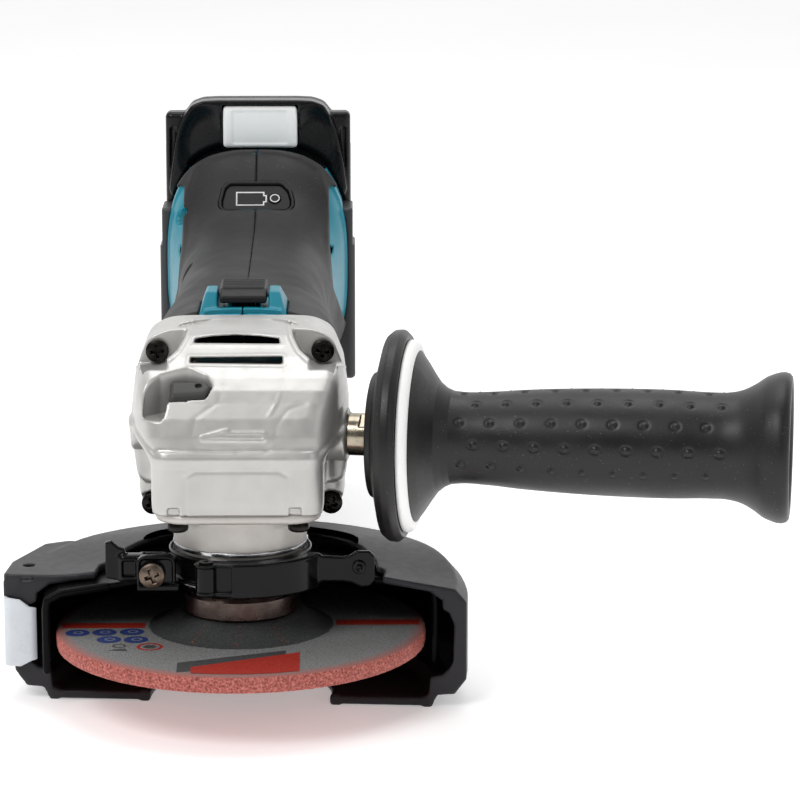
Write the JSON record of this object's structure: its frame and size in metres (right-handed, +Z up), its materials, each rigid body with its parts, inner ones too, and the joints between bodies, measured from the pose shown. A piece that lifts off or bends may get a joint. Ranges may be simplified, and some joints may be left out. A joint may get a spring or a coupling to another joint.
{
  "type": "cordless angle grinder",
  "caption": "Battery angle grinder with bevel gear head, side handle, clip-on guard cover, slide switch and depressed-centre grinding wheel.",
  "frame": {"origin": "on the spindle axis, halfway along the free thread below the lock nut", "axes": "+Z up along the spindle away from the wheel, +Y back along the body to the battery, +X towards the side handle"},
  "size_m": [0.2653, 0.3915, 0.1714],
  "materials": {
    "cast_aluminium": "cast, silver lacquered, satin",
    "black_screw": "black zinc",
    "bearing_steel": "ground and polished",
    "gear_steel": "hardened, ground",
    "flange_steel": "dark zinc, turned",
    "nickel_steel": "nickel plated",
    "lamination_steel": "stacked laminations",
    "copper_wire": "enamelled copper",
    "brass_contact": "plated contact",
    "black_paint": "gloss black powder coat",
    "abrasive": "resin-bonded abrasive with printed face",
    "teal_plastic": "moulded, satin",
    "grip_rubber": "fine textured",
    "handle_rubber": "fine textured",
    "black_plastic": "moulded",
    "satin_plastic": "moulded, satin",
    "gloss_panel": "membrane panel",
    "grey_plastic": "moulded",
    "white_plastic": "moulded, satin",
    "battery_plastic": "moulded, textured",
    "side_plate": "satin, pale",
    "cell_wrap": "shrink sleeve",
    "potting": "potted electronics",
    "wire_insulation": "extruded insulation"
  },
  "bodies": {
    "tool": {"gear_housing": "cast_aluminium", "gear_housing_screws": "black_screw", "bearing_box": "cast_aluminium", "bearing_box_screws": "black_screw", "spindle_bearing_outer_ring": "bearing_steel", "needle_bearing": "bearing_steel", "bearing_retainer": "bearing_steel", "bearing_balls": "bearing_steel", "fan_baffle": "black_plastic", "housing_left": "teal_plastic", "housing_right": "teal_plastic", "grip_rubber_left": "grip_rubber", "grip_rubber_right": "grip_rubber", "housing_screws": "black_screw", "stator_core": "lamination_steel", "stator_windings": "copper_wire", "rotor_bearing_outer_rings": "bearing_steel", "switch_unit": "black_plastic", "controller_board": "potting", "terminal_block": "black_plastic", "gauge_panel": "gloss_panel", "switch_guide": "teal_plastic", "lock_spring": "bearing_steel", "lead_wires": "wire_insulation"},
    "rotor": {"rotor_shaft": "bearing_steel", "rotor_core": "lamination_steel", "cooling_fan": "black_plastic", "drive_pinion": "gear_steel", "rotor_bearing_inner_rings": "bearing_steel"},
    "spindle": {"spindle": "gear_steel", "crown_gear": "gear_steel", "spindle_bearing_inner_ring": "bearing_steel", "gear_retaining_ring": "bearing_steel", "inner_flange": "flange_steel", "grinding_wheel": "abrasive", "lock_nut": "flange_steel"},
    "shaft_lock": {"lock_button": "grey_plastic", "lock_pin": "gear_steel"},
    "switch": {"switch_slider": "black_plastic", "switch_link": "black_plastic"},
    "gauge_check": {"gauge_button": "gloss_panel"},
    "guard": {"guard_shell": "black_paint", "guard_band": "black_paint", "clamp_bracket": "black_paint", "clamp_screw": "black_screw", "lever_pin": "black_screw"},
    "clamp_lever": {"guard_lever": "black_paint", "lever_rivet": "black_screw"},
    "wheel_cover": {"guard_cover": "satin_plastic", "cover_side_plate": "side_plate"},
    "side_handle": {"handle_bolt": "nickel_steel", "handle_sleeve": "nickel_steel", "handle_flange": "handle_rubber", "handle_ring": "white_plastic", "handle_grip": "handle_rubber"},
    "battery": {"battery_case": "battery_plastic", "battery_lid": "battery_plastic", "battery_cells": "cell_wrap", "battery_terminals": "brass_contact"},
    "battery_release": {"battery_button": "white_plastic"}
  },
  "joints": [
    {"name": "spindle_spin", "type": "hinge", "parent": "tool", "child": "spindle", "pos_m": [0, 0, 0], "axis": [0, 0, 1], "continuous": true},
    {"name": "rotor_spin", "type": "hinge", "parent": "tool", "child": "rotor", "pos_m": [0, 0, 0.0745], "axis": [0, 1, 0], "continuous": true},
    {"name": "shaft_lock_press", "type": "slide", "parent": "tool", "child": "shaft_lock", "axis": [0, 0, -1], "range_m": [0, 0.004], "stiffness_N_per_m": 600, "springref_m": -0.002, "deforming": ["lock_spring"]},
    {"name": "switch_slide", "type": "slide", "parent": "tool", "child": "switch", "axis": [0, -1, 0], "range_m": [0, 0.007], "stiffness_N_per_m": 400, "springref_m": -0.002},
    {"name": "gauge_press", "type": "slide", "parent": "tool", "child": "gauge_check", "axis": [0, 0.7071, -0.7071], "range_m": [0, 0.001], "stiffness_N_per_m": 300, "springref_m": -0.001},
    {"name": "guard_turn", "type": "hinge", "parent": "tool", "child": "guard", "pos_m": [0, 0, 0.032], "axis": [0, 0, 1], "range_deg": [-120, 120]},
    {"name": "clamp_lever_open", "type": "hinge", "parent": "guard", "child": "clamp_lever", "pos_m": [-0.0105, -0.027, 0.032], "axis": [0, 0, -1], "range_deg": [0, 100]},
    {"name": "cover_slide_off", "type": "slide", "parent": "guard", "child": "wheel_cover", "axis": [0, 1, 0], "range_m": [0, 0.15]},
    {"name": "side_handle_screw", "type": "hinge", "parent": "tool", "child": "side_handle", "pos_m": [0, 0, 0.076], "axis": [0.9877, -0.1564, 0], "continuous": true},
    {"name": "battery_slide", "type": "slide", "parent": "tool", "child": "battery", "axis": [0, 0, 1], "range_m": [0, 0.085]},
    {"name": "battery_release_slide", "type": "slide", "parent": "battery", "child": "battery_release", "axis": [0, 1, 0], "range_m": [0, 0.004], "stiffness_N_per_m": 500, "springref_m": -0.002}
  ],
  "couplings": [
    {"joint": "rotor_spin", "follows": "spindle_spin", "ratio": 3.3636}
  ]
}
